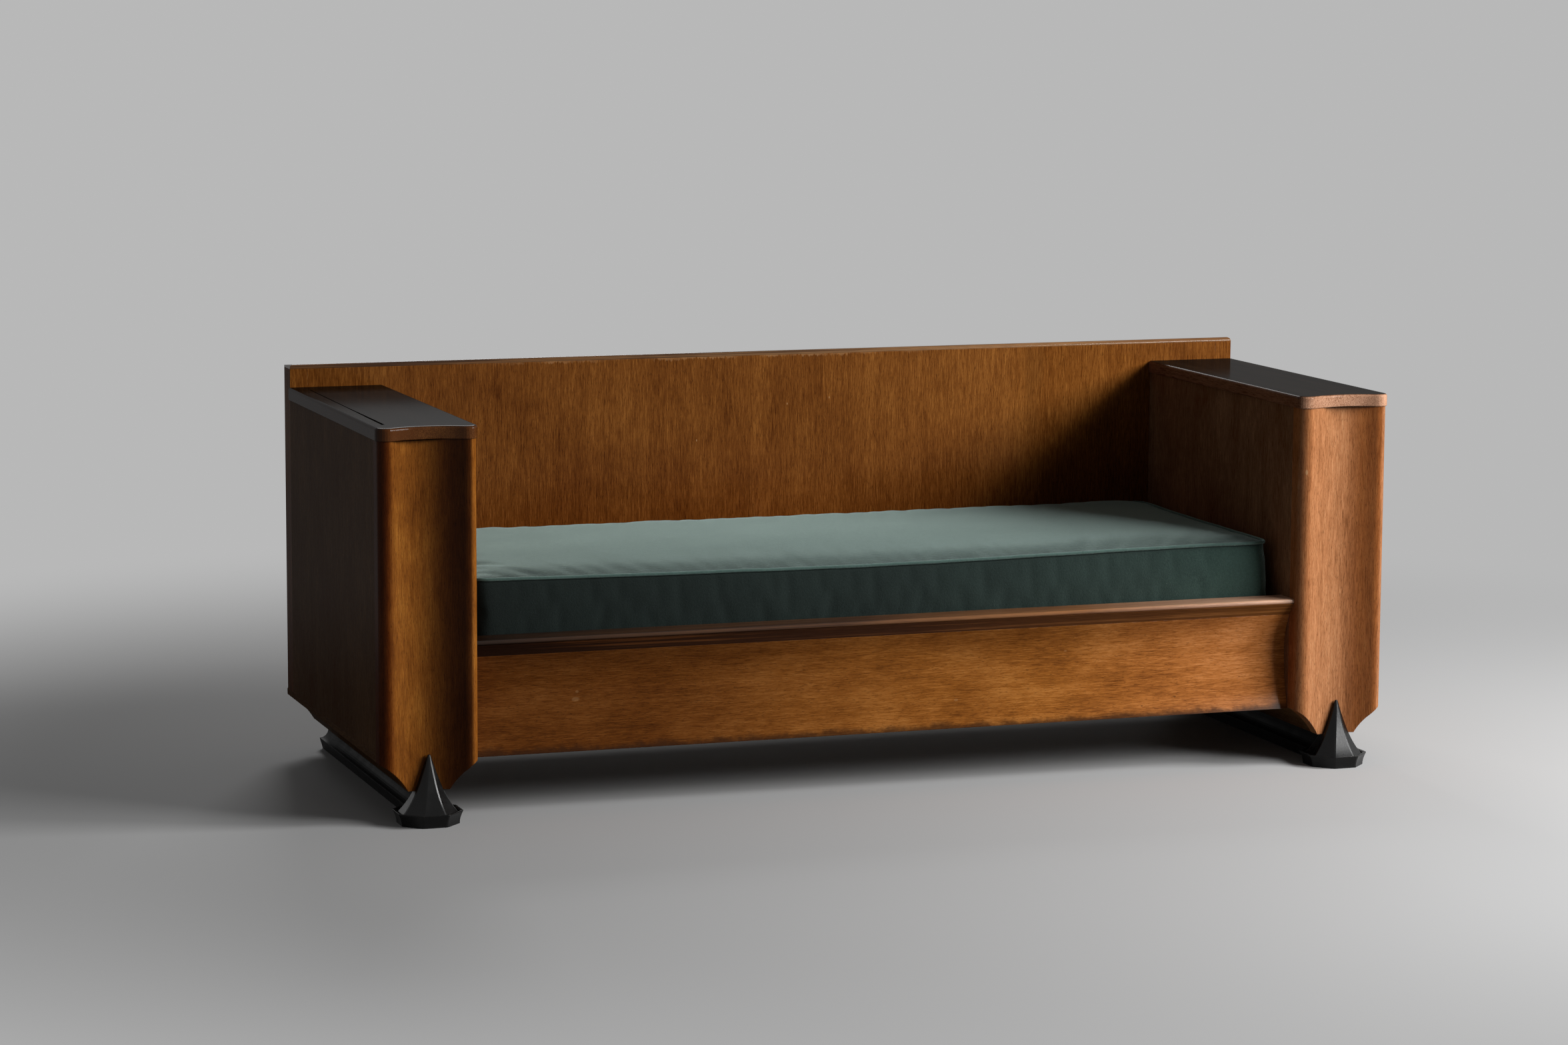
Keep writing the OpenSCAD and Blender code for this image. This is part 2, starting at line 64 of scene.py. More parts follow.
class Shader:
    """A material under construction: each method adds nodes and returns an output socket."""

    def __init__(self, name):
        self.material = bpy.data.materials.new(name)
        self.material.use_nodes = True
        self.tree = self.material.node_tree
        self.tree.nodes.clear()
        self.coords = self.add("ShaderNodeTexCoord").outputs["Object"]
        # 1 inside a crack, where there is no varnish
        self.crack = None

    def add(self, kind, **settings):
        n = self.tree.nodes.new(kind)
        for key, value in settings.items():
            setattr(n, key, value)
        return n

    def plug(self, socket, value):
        """Links another socket to this one, or sets a plain value."""
        if isinstance(value, bpy.types.NodeSocket):
            self.tree.links.new(value, socket)
        else:
            socket.default_value = value

    def math(self, operation, a, b=0.0, c=None):
        n = self.add("ShaderNodeMath", operation=operation)
        self.plug(n.inputs[0], a)
        self.plug(n.inputs[1], b)
        if c is not None:
            self.plug(n.inputs[2], c)
        return n.outputs[0]

    def times(self, first, *others):
        """Product of masks and shares."""
        for other in others:
            first = self.math("MULTIPLY", first, other)
        return first

    def sway(self, onto, pattern, share):
        """Adds a share of a pattern, taken about its middle value."""
        return self.math("MULTIPLY_ADD", self.math("SUBTRACT", pattern, 0.5), share, onto)

    def place(self, scale=(1, 1, 1), offset=(0, 0, 0), vector=None):
        n = self.add("ShaderNodeMapping")
        self.plug(n.inputs["Vector"], vector or self.coords)
        n.inputs["Scale"].default_value = scale
        n.inputs["Location"].default_value = offset
        return n.outputs[0]

    def axes(self, vector=None):
        n = self.add("ShaderNodeSeparateXYZ")
        self.plug(n.inputs[0], vector or self.coords)
        return n.outputs

    def facing(self):
        """The three parts of the direction that the surface faces."""
        return self.axes(self.add("ShaderNodeTexCoord").outputs["Normal"])

    def noise(self, vector, detail=2.0, rough=0.5, distortion=0.0):
        n = self.add("ShaderNodeTexNoise")
        self.plug(n.inputs["Vector"], vector)
        n.inputs["Scale"].default_value = 1.0
        n.inputs["Detail"].default_value = detail
        n.inputs["Roughness"].default_value = rough
        n.inputs["Distortion"].default_value = distortion
        return n.outputs["Fac"]

    def specks(self, scale, offset, size, rare, channel=0):
        """1 on small scattered spots; the size tells where a spot ends and where it is full."""
        n = self.add("ShaderNodeTexVoronoi")
        self.plug(n.inputs["Vector"], self.place(scale, offset))
        n.inputs["Scale"].default_value = 1.0
        n.inputs["Randomness"].default_value = 1.0
        chosen = self.math("GREATER_THAN", self.axes(n.outputs["Color"])[channel], rare)
        return self.times(self.spread(n.outputs["Distance"], *size), chosen)

    def spread(self, value, low, high, to_low=0.0, to_high=1.0, smooth=True):
        """Maps the span from low to high onto that from to_low to to_high, and holds its ends."""
        n = self.add("ShaderNodeMapRange")
        n.interpolation_type = "SMOOTHSTEP" if smooth else "LINEAR"
        self.plug(n.inputs["Value"], value)
        for key, v in (("From Min", low), ("From Max", high), ("To Min", to_low), ("To Max", to_high)):
            n.inputs[key].default_value = v
        return n.outputs["Result"]

    def mix(self, share, a, b, blend="MIX"):
        n = self.add("ShaderNodeMix", data_type="RGBA", blend_type=blend)
        self.plug(n.inputs[0], share)
        self.plug(n.inputs[6], rgba(a))
        self.plug(n.inputs[7], rgba(b))
        return n.outputs[2]

    def ramp(self, value, stops):
        n = self.add("ShaderNodeValToRGB")
        self.plug(n.inputs[0], value)
        points = n.color_ramp.elements
        while len(points) < len(stops):
            points.new(0.5)
        for point, (at, colour) in zip(points, stops):
            point.position = at
            point.color = rgba(colour)
        return n.outputs[0]

    def bump(self, height, distance, strength, normal=None):
        n = self.add("ShaderNodeBump")
        self.plug(n.inputs["Height"], height)
        n.inputs["Distance"].default_value = distance
        n.inputs["Strength"].default_value = strength
        if normal is not None:
            self.plug(n.inputs["Normal"], normal)
        return n.outputs[0]

    def mark(self, x0, z0, rx, rz):
        """1 inside an oval on a face that looks forward, fading out over its rim."""
        x, _, z = self.axes()
        u = self.math("MULTIPLY", self.math("SUBTRACT", x, x0), 1 / rx)
        v = self.math("MULTIPLY", self.math("SUBTRACT", z, z0), 1 / rz)
        far = self.math("ADD", self.math("MULTIPLY", u, u), self.math("MULTIPLY", v, v))
        return self.spread(far, 1.0, 0.25)

    def soft_edges(self, radius):
        n = self.add("ShaderNodeBevel", samples=6)
        n.inputs["Radius"].default_value = radius
        return n.outputs[0]

    def edge_mask(self, rounded):
        """1 on edges, 0 on flat faces, from the rounded normal of soft_edges."""
        true = self.add("ShaderNodeNewGeometry").outputs["Normal"]
        dot = self.add("ShaderNodeVectorMath", operation="DOT_PRODUCT")
        self.plug(dot.inputs[0], rounded)
        self.plug(dot.inputs[1], true)
        return self.spread(dot.outputs["Value"], 0.99, 0.8)

    def finish(self, **inputs):
        """Sets or links the shader's inputs by name and returns the material."""
        shader = self.add("ShaderNodeBsdfPrincipled")
        for key, value in inputs.items():
            self.plug(shader.inputs[key.replace("_", " ")], value)
        out = self.add("ShaderNodeOutputMaterial")
        self.tree.links.new(shader.outputs[0], out.inputs[0])
        return self.material


def rgba(colour):
    """Adds the alpha to a plain colour; a socket stays as it is."""
    if isinstance(colour, (tuple, list)) and len(colour) == 3:
        return (*colour, 1.0)
    return colour


def along(grain, across, length):
    """Mapping scale that stretches a pattern along one axis."""
    return tuple(length if axis == grain else across for axis in "xyz")


def oak(name, grain, seed, dark=(0.105, 0.029, 0.004), mid=(0.255, 0.084, 0.010),
        light=(0.420, 0.165, 0.022), contrast=1.0, blotch=1.0, extra=None, gloss=0.42, coat=0.10):
    """Varnished oak: soft patches, streaks and short pores along the grain, and pale worn edges whose
    pinkish tint is a painted highlight.
    """
    s = Shader(name)
    shift = (seed * 1.7, seed * 3.1, seed * 0.9)
    patch_shift = (shift[2], shift[0], shift[1])
    pore_shift = (shift[1], shift[2], shift[0])
    # The grain wanders by this much to its sides
    wander = tuple(0.0 if axis == grain else 0.012 for axis in "xyz")
    wavy = s.add("ShaderNodeVectorMath", operation="MULTIPLY_ADD")
    s.plug(wavy.inputs[0], s.noise(s.place((2.2, 2.2, 2.2), shift)))
    s.plug(wavy.inputs[1], wander)
    s.plug(wavy.inputs[2], s.coords)

    def figure(across, length, *look, offset=shift):
        return s.noise(s.place(along(grain, across, length), offset, wavy.outputs[0]), *look)

    broad = figure(13.0, 7.0, 4.0, 0.62)
    patch = figure(2.6, 2.6, 2.0, 0.6, offset=patch_shift)
    plank = figure(30.0, 1.2)
    streak = figure(270.0, 9.0, 2.0, 0.65)
    fine = figure(640.0, 38.0, 2.0, 0.65)
    pores = s.spread(figure(1100.0, 120.0, 1.0, offset=pore_shift), 0.58, 0.70)
    tone = 0.48
    for pattern, share in ((broad, 0.60 * blotch), (patch, 0.42 * blotch), (plank, 0.30),
                           (streak, 0.32 * contrast), (fine, contrast)):
        tone = s.sway(tone, pattern, share)
    colour = s.ramp(tone, [(0.14, dark), (0.48, mid), (0.84, light)])
    deep = tuple(0.5 * c for c in dark)
    colour = s.mix(s.times(pores, 0.50), colour, deep)
    rounded = s.soft_edges(0.0018)
    rub = s.spread(s.noise(s.place((55, 55, 55), shift), 3.0, 0.6), 0.44, 0.62)
    # Pale pinkish edges: rubbed wood, with a painted highlight of the varnish in their tint
    bare_and_highlight = (1.15 * light[0], 1.6 * light[1], 4.0 * light[2])
    colour = s.mix(s.times(s.edge_mask(rounded), rub, 0.35), colour, bare_and_highlight)
    dents = s.specks((9, 9, 9), shift, (0.030, 0.012), 0.80)
    colour = s.mix(s.times(dents, 0.7), colour, deep)
    if extra:
        colour = extra(s, colour)
    height = s.math("MULTIPLY_ADD", pores, -0.6, s.times(streak, 0.35))
    height = s.math("MULTIPLY_ADD", dents, -2.0, height)
    if s.crack is not None:
        height = s.math("MULTIPLY_ADD", s.crack, -6.0, height)
        coat = s.math("MULTIPLY_ADD", s.crack, -coat, coat)
    return s.finish(Base_Color=colour, Roughness=s.math("MULTIPLY_ADD", patch, 0.16, gloss - 0.08),
                    Normal=s.bump(height, 0.00035, 0.55, rounded), Specular_IOR_Level=0.0,
                    Coat_Weight=coat, Coat_Roughness=0.15)


def streaked(name, seed, stops, share, gloss=0.36, coat=0.3):
    """Hardwood along X whose ground and thin stripes change tone from the left end to the right; that
    change holds painted light and shade.

    Each stop holds a place from 0 to 1, the colour of the ground there and that of the stripes.
    """
    s = Shader(name)
    v = s.place((1, 1, 1), (seed * 2.3, seed * 1.1, seed * 0.7))
    place = s.spread(s.axes()[0], -RAIL_HALF, RAIL_HALF, smooth=False)
    ground = s.ramp(place, [(at, tone) for at, tone, _ in stops])
    stripe = s.ramp(place, [(at, tone) for at, _, tone in stops])
    band = s.noise(s.place(along("x", 210.0, 1.6), (0, 0, 0), v), 3.0, 0.6)
    where = s.noise(s.place(along("x", 9.0, 2.4), (3, 1, 2), v))
    mask = s.spread(s.sway(band, where, 0.75), 0.62 - share * 0.3, 0.78 - share * 0.3)
    fine = s.noise(s.place(along("x", 700.0, 30.0), (0, 0, 0), v))
    colour = s.mix(mask, ground, stripe)
    colour = s.mix(s.spread(fine, 0.35, 0.75, 0.0, 0.45), colour, (0.3, 0.3, 0.3), "MULTIPLY")
    return s.finish(Base_Color=colour,
                    Roughness=s.spread(fine, 0.3, 0.7, gloss - 0.05, gloss + 0.07),
                    Normal=s.bump(fine, 0.0002, 0.4, s.soft_edges(0.0012)), Specular_IOR_Level=0.03,
                    Coat_Weight=coat, Coat_Roughness=0.12)


def ebonised(name, grain, tone, rough, shine, wear):
    """Black stained wood, scuffed on its edges."""
    s = Shader(name)
    cloud = s.noise(s.place((18, 18, 18)), 4.0, 0.6)
    fine = s.noise(s.place(along(grain, 420.0, 50.0)))
    rounded = s.soft_edges(0.0016)
    rub = s.spread(s.noise(s.place((90, 90, 90), (4, 1, 7)), 3.0, 0.6), 0.42, 0.62)
    dark = (0.6 * tone, 0.6 * tone, 0.6 * tone)
    light = (1.5 * tone, 1.4 * tone, 1.35 * tone)
    colour = s.ramp(cloud, [(0.3, dark), (0.7, light)])
    colour = s.mix(s.times(s.edge_mask(rounded), rub, wear), colour, (0.090, 0.074, 0.062))
    height = s.math("MULTIPLY_ADD", fine, 0.4, s.times(cloud, 1.2))
    return s.finish(Base_Color=colour,
                    Roughness=s.spread(cloud, 0.3, 0.7, rough - 0.06, rough + 0.06),
                    Normal=s.bump(height, 0.0004, 0.5, rounded), Specular_IOR_Level=shine)


def beech(name, grain, seed):
    """Bare planed frame wood."""
    s = Shader(name)
    shift = (seed, seed * 2.0, seed * 3.0)
    broad = s.noise(s.place(along(grain, 30.0, 2.0), shift), 3.0)
    fleck = s.noise(s.place(along(grain, 520.0, 90.0), shift), 1.0)
    colour = s.ramp(broad, [(0.3, (0.36, 0.22, 0.12)), (0.7, (0.52, 0.35, 0.20))])
    colour = s.mix(s.times(s.spread(fleck, 0.62, 0.70), 0.5), colour, (0.24, 0.13, 0.07))
    return s.finish(Base_Color=colour, Roughness=0.62, Specular_IOR_Level=0.3,
                    Normal=s.bump(fleck, 0.0002, 0.3, s.soft_edges(0.001)))


def wool(name, tint=1.0, extra=None):
    """Dark green felted wool: fine matted fibres, a soft mottle and a pale nap."""
    def green(*colour):
        return tuple(tint * c for c in colour)

    s = Shader(name)
    mottle = s.noise(s.place((7, 7, 7)), 3.0, 0.6)
    felt = s.noise(s.place((260, 260, 260)), 4.0, 0.7)
    fibre = s.noise(s.place((900, 420, 900), (2, 5, 1)), 3.0, 0.75, 1.2)
    share = s.math("MULTIPLY_ADD", felt, 0.55, s.times(mottle, 0.45))
    colour = s.ramp(share, [(0.30, green(0.013, 0.023, 0.020)), (0.72, green(0.028, 0.047, 0.041))])
    colour = s.mix(s.spread(fibre, 0.55, 0.8, 0.0, 0.35), colour, green(0.058, 0.090, 0.080))
    lint = s.specks((95, 95, 95), (0, 0, 0), (0.075, 0.03), 0.93)
    colour = s.mix(s.times(lint, 0.5), colour, (0.22, 0.26, 0.23))
    if extra:
        colour = extra(s, colour)
    height = s.math("MULTIPLY_ADD", fibre, 0.5, felt)
    return s.finish(Base_Color=colour, Roughness=0.92, Normal=s.bump(height, 0.0012, 0.8),
                    Specular_IOR_Level=0.15, Sheen_Weight=0.64, Sheen_Roughness=0.40,
                    Sheen_Tint=(0.76, 1.0, 0.93, 1.0))


# Wear, tones and painted light and shade of single pieces: each takes the colour of the wood or wool
# and returns it changed


def seat_tones(s, colour):
    """Painted light and shade on the cover: a border painted darker than the seat and paler towards
    the right end, by the lamps, and painted shade on the seat towards its front and left end.
    """
    x, y, _ = s.axes()
    # Painted light along the border: dark at the left end, pale at the right end
    tones = s.ramp(s.spread(x, -SEAT_HALF, SEAT_HALF, smooth=False),
                   [(0.0, (0.22, 0.22, 0.22)), (0.5, (0.45, 0.45, 0.45)),
                    (0.84, (0.78, 0.84, 0.82)), (1.0, (1.9, 2.1, 2.0))])
    border = s.mix(1.0, colour, tones, "MULTIPLY")
    # Painted shade along the seat's front
    near = s.spread(y, cushion_low.y + 0.14, cushion_low.y + 0.01, 0.0, 0.6)
    seat = s.mix(near, colour, BLACK)
    # Painted shade towards the seat's left end
    seat = s.mix(s.spread(x, 0.0, -SEAT_HALF, 0.0, 0.45), seat, BLACK)
    # Upright faces take the border's painted tones
    upright = s.spread(s.facing()[2], 0.75, 0.25)
    return s.mix(upright, seat, border)


# X and Z of the pale dings in the back
BACK_DINGS = ((-0.172, 0.593), (0.110, 0.671), (0.020, 0.661))


def back_wear(s, colour):
    """Pale rubbed ticks under the edging, a darker and redder lower part, and a few dings."""
    x, _, z = s.axes()
    ticks = s.math("MULTIPLY_ADD", s.noise(s.place((210, 1, 14)), 3.0, 0.6), 0.022, 0.7455)
    high = s.spread(s.math("SUBTRACT", z, ticks), 0.0, 0.003)
    stretch = s.spread(s.noise(s.place((9, 0.1, 0.1), (3, 0, 0))), 0.40, 0.56)
    span = s.times(s.spread(x, -0.62, -0.48), s.spread(x, 0.34, 0.20))
    colour = s.mix(s.times(high, stretch, span, 0.4), colour, (0.46, 0.25, 0.11))
    drift = s.noise(s.place((4, 4, 2), (9, 4, 1)), 3.0, 0.6)
    low = s.spread(s.math("MULTIPLY_ADD", drift, 0.22, z), 0.76, 0.52)
    colour = s.mix(s.times(low, 0.75), colour, (0.66, 0.52, 0.46), "MULTIPLY")
    grime = s.noise(s.place((8, 8, 3), (9, 4, 1)), 3.0, 0.6)
    colour = s.mix(s.spread(grime, 0.56, 0.74, 0.0, 0.30), colour, (0.090, 0.034, 0.008))
    for at in BACK_DINGS:
        colour = s.mix(s.times(s.mark(*at, 0.0014, 0.0028), 0.7), colour, (0.40, 0.22, 0.10))
    return colour


# X, Z and both radii of the pale bumps on the rail
RAIL_BUMPS = (
    (-0.619, 0.205, 0.009, 0.005),
    (-0.616, 0.219, 0.004, 0.003),
    (0.13, 0.163, 0.005, 0.003),
    (0.355, 0.245, 0.004, 0.002),
    (0.721, 0.263, 0.0008, 0.009),
)


def rail_wear(s, colour):
    """A left half darkened partly by darker patches and partly by painted shade, a right end painted
    paler and pinker as painted light and varnish glare, grime along the lower edge, dents and pale
    bumps.
    """
    x, _, z = s.axes()
    # Darker left half: partly darker patches in the wood, partly painted shade
    drift = s.noise(s.place((2.2, 2.2, 5.0), (5, 2, 8)), 4.0, 0.6)
    left = s.spread(s.math("MULTIPLY_ADD", drift, 0.9, x), 0.95, -0.15)
    colour = s.mix(s.times(left, 0.85), colour, (0.34, 0.28, 0.26), "MULTIPLY")
    # Painted light and varnish glare at the right end
    right = s.spread(x, 0.25, 0.75)
    colour = s.mix(s.times(right, 0.55), colour, (1.55, 1.55, 2.70), "MULTIPLY")
    ragged = s.noise(s.place((30, 30, 30), (1, 7, 2)), 4.0, 0.65)
    low = s.spread(s.math("MULTIPLY_ADD", ragged, -0.026, z), 0.113, 0.099)
    colour = s.mix(s.times(low, 0.80), colour, (0.032, 0.012, 0.005))
    dots = s.specks((16, 16, 24), (2, 2, 2), (0.060, 0.025), 0.66, channel=1)
    colour = s.mix(s.times(dots, 0.6), colour, (0.050, 0.018, 0.006))
    for bump in RAIL_BUMPS:
        colour = s.mix(s.times(s.mark(*bump), 0.22), colour, (0.44, 0.25, 0.11))
    return colour


def front_wear(middle, start, deep, margin, nicks=()):
    """Pale wavy figure down an arm front, painted shade on the far side of its hollow and a dark near
    edge.
    """
    def extra(s, colour):
        x = s.axes()[0]
        wander = s.noise(s.place((3, 3, 3.5), (2, 6, 4)), 3.0, 0.6)
        lines = s.math("SINE", s.math("MULTIPLY_ADD", wander, 30.0, s.times(x, 260.0)))
        colour = s.mix(s.spread(lines, 0.1, 1.0, 0.0, 0.20), colour, (1.45, 1.5, 1.6), "MULTIPLY")
        across = s.math("SUBTRACT", x, middle)
        # Painted shade on the far side of the hollow, which turns away from the lamps
        dark = s.times(s.spread(across, start, 0.048), s.spread(across, 0.084, 0.076))
        colour = s.mix(dark, colour, deep, "MULTIPLY")
        colour = s.mix(s.spread(across, -0.058, -0.078), colour, margin, "MULTIPLY")
        for at in nicks:
            colour = s.mix(s.times(s.mark(*at, 0.003, 0.006), 0.45), colour, (0.55, 0.35, 0.18))
        return colour
    return extra


def cap_top(s, colour):
    """The caps keep the light wood only on their fronts: painted shade turns the other sides dark red
    brown, and the tops are nearly black.
    """
    _, ahead, up = s.facing()
    # Painted shade on every side face that does not look forward
    sides = s.spread(s.math("MULTIPLY", ahead, -1.0), 0.80, 0.25)
    colour = s.mix(sides, colour, s.mix(0.85, colour, (0.30, 0.22, 0.18), "MULTIPLY"))
    cloud = s.noise(s.place((60, 3, 60), (1, 5, 2)), 4.0, 0.65)
    dark = s.ramp(cloud, [(0.3, (0.004, 0.003, 0.002)), (0.7, (0.014, 0.009, 0.006))])
    return s.mix(s.spread(up, 0.72, 0.97), colour, dark)


# Both ends of the crack, measured back from the arm fronts
CRACK_START, CRACK_END = 0.057, 0.669
# Its X at the arm fronts, and the change of X per metre towards the rear
CRACK_X, CRACK_DRIFT = -0.9775, 0.0082


def cap_crack(s, colour):
    """A drying crack that runs with the grain of the left cap, widest at the front."""
    x, y, _ = s.axes()
    t = s.math("SUBTRACT", y, FRONT_Y)
    line = s.math("MULTIPLY_ADD", t, CRACK_DRIFT, CRACK_X)
    line = s.sway(line, s.noise(s.place((1, 60, 1))), 0.0012)
    away = s.math("ABSOLUTE", s.math("SUBTRACT", x, line))
    inside = s.math("LESS_THAN", away, s.spread(t, 0.06, 0.40, 0.0030, 0.0013))
    s.crack = s.times(inside, s.math("GREATER_THAN", t, CRACK_START),
                      s.math("LESS_THAN", t, CRACK_END))
    return s.mix(s.crack, cap_top(s, colour), (0.002, 0.0015, 0.001))


# The outer panels, rear skin and plinths take a darker copy of the oak: painted shade
SHADED_SIDE_TONES = dict(mid=(0.118, 0.058, 0.025), light=(0.215, 0.110, 0.048), gloss=0.6, coat=0.06)
# Nosing: nearly black at the left end, partly as painted shade, and pale and pinkish at the right end
# as a painted varnish glare
NOSING = (
    (0.0, (0.006, 0.003, 0.002), (0.014, 0.006, 0.003)),
    (0.45, (0.070, 0.031, 0.016), (0.140, 0.061, 0.026)),
    (0.72, (0.18, 0.072, 0.028), (0.30, 0.125, 0.044)),
    (1.0, (0.60, 0.34, 0.225), (0.74, 0.46, 0.31)),
)
# Edging: one golden wood, darkening towards the left end as painted shade
EDGING = (
    (0.0, (0.055, 0.022, 0.008), (0.15, 0.062, 0.018)),
    (0.5, (0.088, 0.040, 0.016), (0.20, 0.098, 0.038)),
    (1.0, (0.19, 0.084, 0.030), (0.31, 0.150, 0.058)),
)
# Band: a dark stained wood, with painted shade deepening towards the left end
BAND = (
    (0.0, (0.020, 0.007, 0.003), (0.12, 0.038, 0.010)),
    (0.5, (0.074, 0.028, 0.013), (0.22, 0.084, 0.030)),
    (1.0, (0.20, 0.072, 0.018), (0.36, 0.14, 0.038)),
)
left_front_wear_and_shade = front_wear(-ARM_X, -0.047, (0.20, 0.155, 0.16), (0.40, 0.25, 0.20))
right_front_wear_and_shade = front_wear(ARM_X, -0.002, (0.62, 0.48, 0.30), (0.80, 0.72, 0.62), nicks=((0.829, 0.578),))
materials = {
    "back": oak("oak_back", "z", 1.0, dark=(0.066, 0.016, 0.002), mid=(0.176, 0.058, 0.010),
                light=(0.33, 0.128, 0.026), contrast=0.95, blotch=0.6, extra=back_wear),
    "rail": oak("oak_rail", "x", 2.0, mid=(0.295, 0.100, 0.0155), light=(0.49, 0.20, 0.046),
                contrast=0.9, blotch=1.1, extra=rail_wear),
    "nosing": streaked("nosing_wood", 3.0, NOSING, 0.6, coat=0.45),
    "front_left": oak("oak_front_left", "z", 4.0, mid=(0.228, 0.074, 0.010),
                      light=(0.380, 0.148, 0.023), contrast=0.8, blotch=1.3, extra=left_front_wear_and_shade),
    # The right arm front is painted paler and pinker than the left one: painted light and a painted
    # varnish glare on the side of the lamps
    "front_right": oak("oak_front_right", "z", 5.0, mid=(0.37, 0.150, 0.060), coat=0.2,
                       light=(0.56, 0.28, 0.13), contrast=0.7, blotch=0.5, extra=right_front_wear_and_shade),
    "side": oak("oak_side", "z", 6.0, **SHADED_SIDE_TONES),
    "inner": oak("oak_inner", "z", 10.0, mid=(0.175, 0.085, 0.043), light=(0.30, 0.155, 0.080),
                 blotch=1.3, gloss=0.5, coat=0.06),
    "plinth": oak("oak_plinth", "y", 7.0, **SHADED_SIDE_TONES),
    "cap_left": oak("oak_cap_left", "y", 8.0, mid=(0.082, 0.027, 0.007), light=(0.17, 0.064, 0.016),
                    gloss=0.5, coat=0.2, extra=cap_crack),
    # The right cap is painted pale and pinkish: a painted varnish glare and painted light on the side
    # of the lamps
    "cap_right": oak("oak_cap_right", "y", 9.0, mid=(0.46, 0.245, 0.150), light=(0.62, 0.36, 0.23),
                     gloss=0.5, coat=0.14, extra=cap_top),
    "edging": streaked("edging_wood", 1.0, EDGING, 0.7, coat=0.4),
    "band": streaked("band_wood", 2.0, BAND, 0.35, gloss=0.45, coat=0.03),
    "foot": ebonised("ebonised_foot", "z", 0.003, rough=0.28, shine=0.25, wear=0.35),
    "runner": ebonised("ebonised_runner", "y", 0.004, rough=0.6, shine=0.10, wear=0.4),
    "beech_x": beech("beech_x", "x", 1.0),
    "beech_y": beech("beech_y", "y", 2.0),
    "beech_z": beech("beech_z", "z", 3.0),
    "wool": wool("green_wool", extra=seat_tones),
    # The piping is 3.4 times paler than the cover: a painted highlight along it
    "welt": wool("green_wool_welt", 3.4),
}

# Material of each CAD node that has a left and a right one; {} stands for the side
PAIRED = {
    "arm_front": "front_{}", "arm_outer_panel": "side", "arm_inner_panel": "inner",
    "arm_rib": "beech_z", "arm_rear_post": "beech_z", "arm_plinth": "plinth", "arm_cap": "cap_{}",
    "foot": "foot", "runner": "runner", "back_end_post": "back", "seat_ledger": "beech_y",
    "corner_block_front": "beech_y", "corner_block_rear": "beech_y",
}
SINGLE = {
    "back_front_skin": "back", "back_rear_skin": "side", "back_edging": "edging",
    "front_rail": "rail", "rail_band": "band", "rail_nosing": "nosing",
    "back_top_rail": "beech_x", "back_bottom_rail": "beech_x", "rail_dowels": "beech_x",
    "seat_ledger_front": "beech_x", "seat_ledger_rear": "beech_x",
    "back_stile_1": "beech_z", "back_stile_2": "beech_z", "back_stile_3": "beech_z",
}


def coat(node, name):
    """Puts a material on a CAD node."""
    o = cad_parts[node]
    if not o.material_slots:
        o.data.materials.append(materials[name])
    for s in o.material_slots:
        s.material = materials[name]


for node, name in PAIRED.items():
    for side in SIDES:
        coat(f"{node}_{side}", name.format(side))
for node, name in SINGLE.items():
    coat(node, name)
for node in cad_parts:
    if node.startswith("seat_slat_"):
        coat(node, "beech_y")


# Cushion

# Height of the upper end of the border, and radius of the corners in plan
BORDER_TOP = cushion_low.z + 0.117
CORNER = 0.026
# How far the front leans back and sags at its top, and the depth over which that fades out
LEAN = 0.016
SAG = 0.009
FRONT_ZONE = 0.30
# Places where someone sat: X, half width and share of the sag
SEATS = ((0.05, 0.42, 1.0), (-0.45, 0.35, 0.55))
# How far the sides pull in between the corners
PULL_IN = 0.004
# How uneven the cover is in depth and in height
WAVE_Y = 0.0012
WAVE_Z = 0.0010
# The filled top: rise of its middle and of its shoulder over the seam, and the shoulder's width
FILL = 0.006
SHOULDER = 0.008
SHOULDER_W = 0.022
# Way over which the fill rises from the front, the rear and the ends
RISE_FRONT, RISE_REAR, RISE_END = 0.34, 0.09, 0.20
# The seams lie this far inside the cushion's box, and this far from the border's ends in height
SEAM_INSET = 0.0045
SEAM_GAP = 0.003
# Faces of the cover along X, along Y and up the border
GRID_X, GRID_Y, GRID_Z = 150, 60, 12
# Cloth simulation: frames, pressure, and the most that a point may move
FRAMES = 20
PRESSURE = 4.0
MOST = 0.0055
# The piping: radius, distance out from the seam, and how far each ring lies above its seam
WELT_R = 0.0031
WELT_OUT = 0.0022
WELT_LIFT_LOW = 0.0015
WELT_LIFT_HIGH = 0.0026


def smooth(t):
    """Soft step from 0 to 1."""
    t = min(max(t, 0.0), 1.0)
    return t * t * (3 - 2 * t)


def sewn(x, y, z):
    """Moves a point of the plain boxed form to where the sewn cushion has it."""
    up = min(max((z - cushion_low.z) / (BORDER_TOP - cushion_low.z), 0.0), 1.0)
    ahead = smooth((FRONT_ZONE - (y - cushion_low.y)) / FRONT_ZONE)
    dip = sum(share * math.exp(-(((x - middle) / width) ** 2)) for middle, width, share in SEATS)
    wave = noise.noise(Vector((x * 5.0, y * 5.0, 3.0)))
    y += LEAN * ahead * up * up + WAVE_Y * wave * up
    # The long sides and the ends pull in between the corners
    half = (cushion_high.x - cushion_low.x) / 2
    reach = (y - (cushion_low.y + cushion_high.y) / 2) / ((cushion_high.y - cushion_low.y) / 2)
    y -= PULL_IN * (1 - min(abs(x / half), 1.0) ** 2) * reach ** 3
    x -= PULL_IN * (1 - min(abs(reach), 1.0) ** 2) * (x / half) ** 5
    z -= up * (SAG * dip * ahead + WAVE_Z * noise.noise(Vector((x * 9.0, y * 9.0, 8.0))))
    return x, y, z


def rise(distance, way):
    """0 at a seam and 1 from the given way on, steepest at the seam."""
    t = min(max(distance / way, 0.0), 1.0)
    return 1 - (1 - t) ** 2.2


